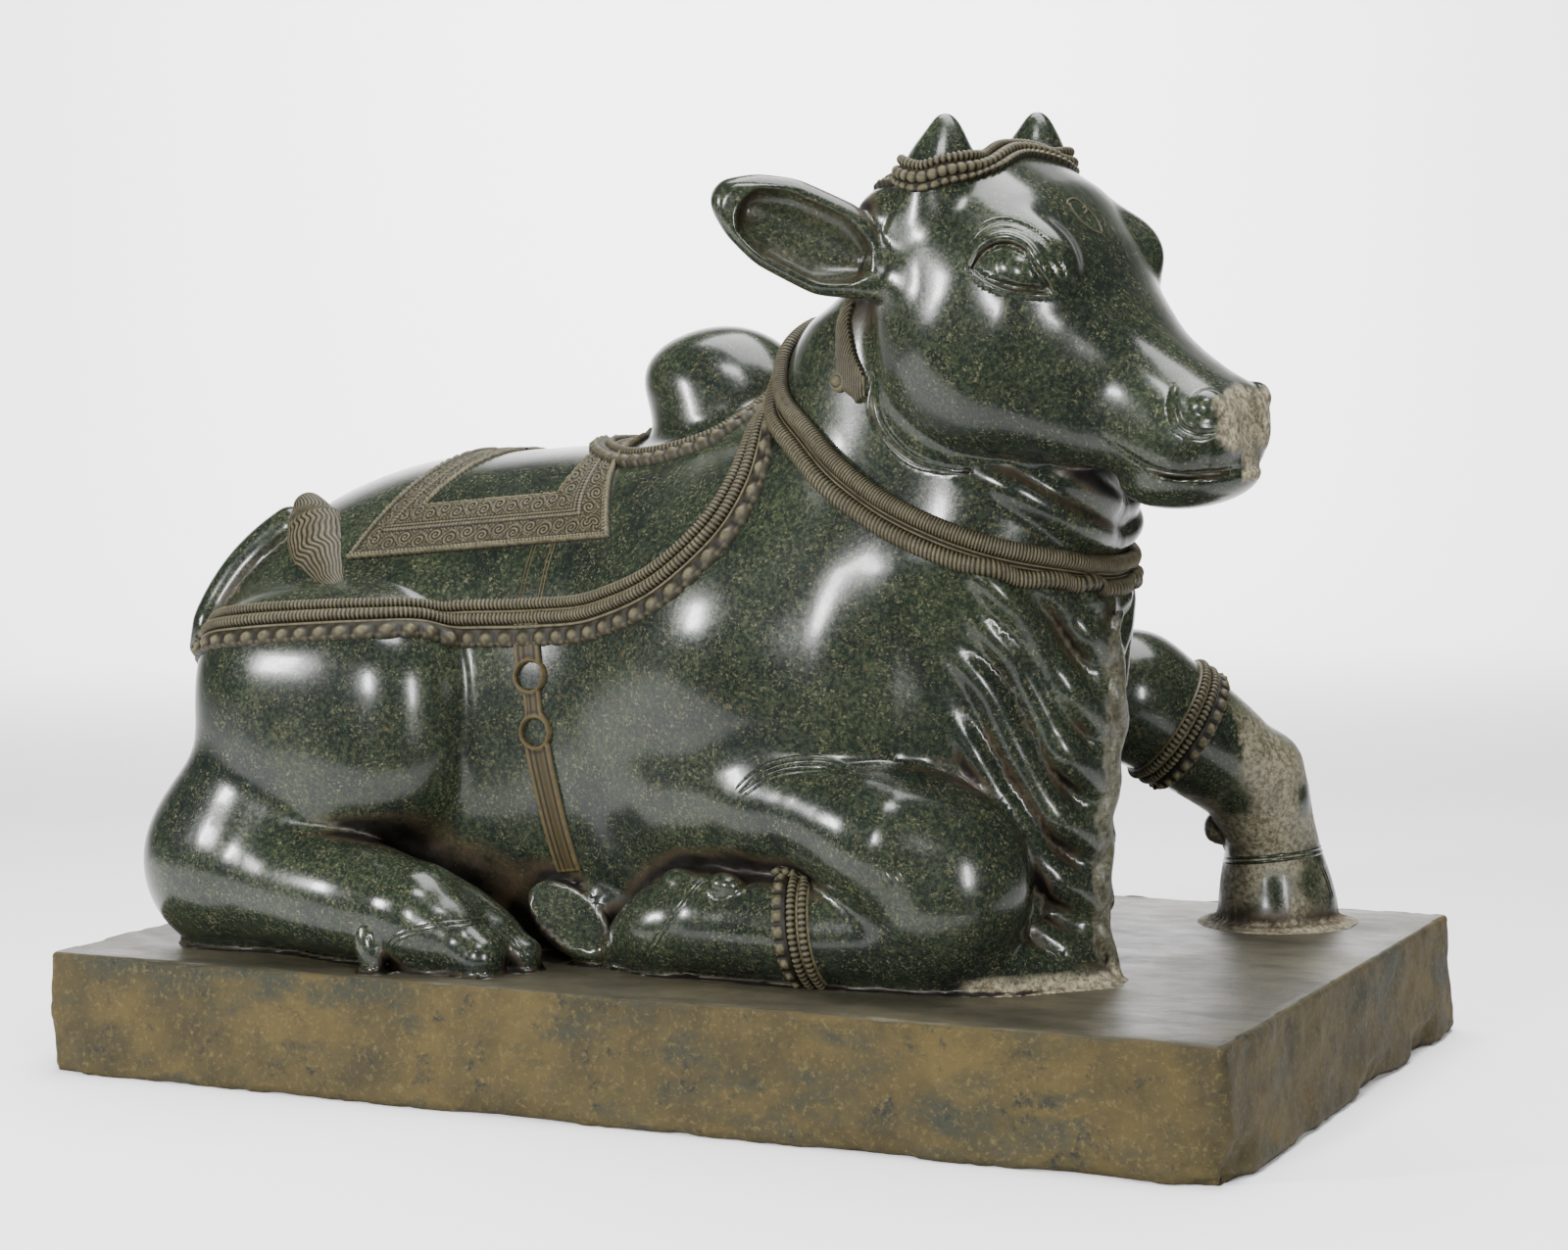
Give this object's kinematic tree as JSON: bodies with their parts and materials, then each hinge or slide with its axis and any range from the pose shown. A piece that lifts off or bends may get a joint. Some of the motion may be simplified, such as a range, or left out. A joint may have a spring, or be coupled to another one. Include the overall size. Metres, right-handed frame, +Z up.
{
  "type": "nandi bull figure",
  "caption": "Recumbent humped bull carved in dark green stone with garlands, saddle cloth, collar and girth strap and a raised foreleg, on a low slab.",
  "frame": {"origin": "on the slab's flat underside, below the middle of the whole outline", "axes": "+X along the body towards the muzzle, -Y out of the bull's right flank, +Z up from the slab"},
  "size_m": [1.1176, 0.6666, 0.8324],
  "materials": {
    "polished_stone": "hard stone polished to a soft gloss, green-black with fine yellow-green flecks and brown patina in the hollows",
    "carved_stone": "the same stone left matt where the ornaments are cut and where the slab is only hewn, grey-olive and worn"
  },
  "bodies": {
    "root": {"nandi_bull": "polished_stone"}
  },
  "joints": []
}
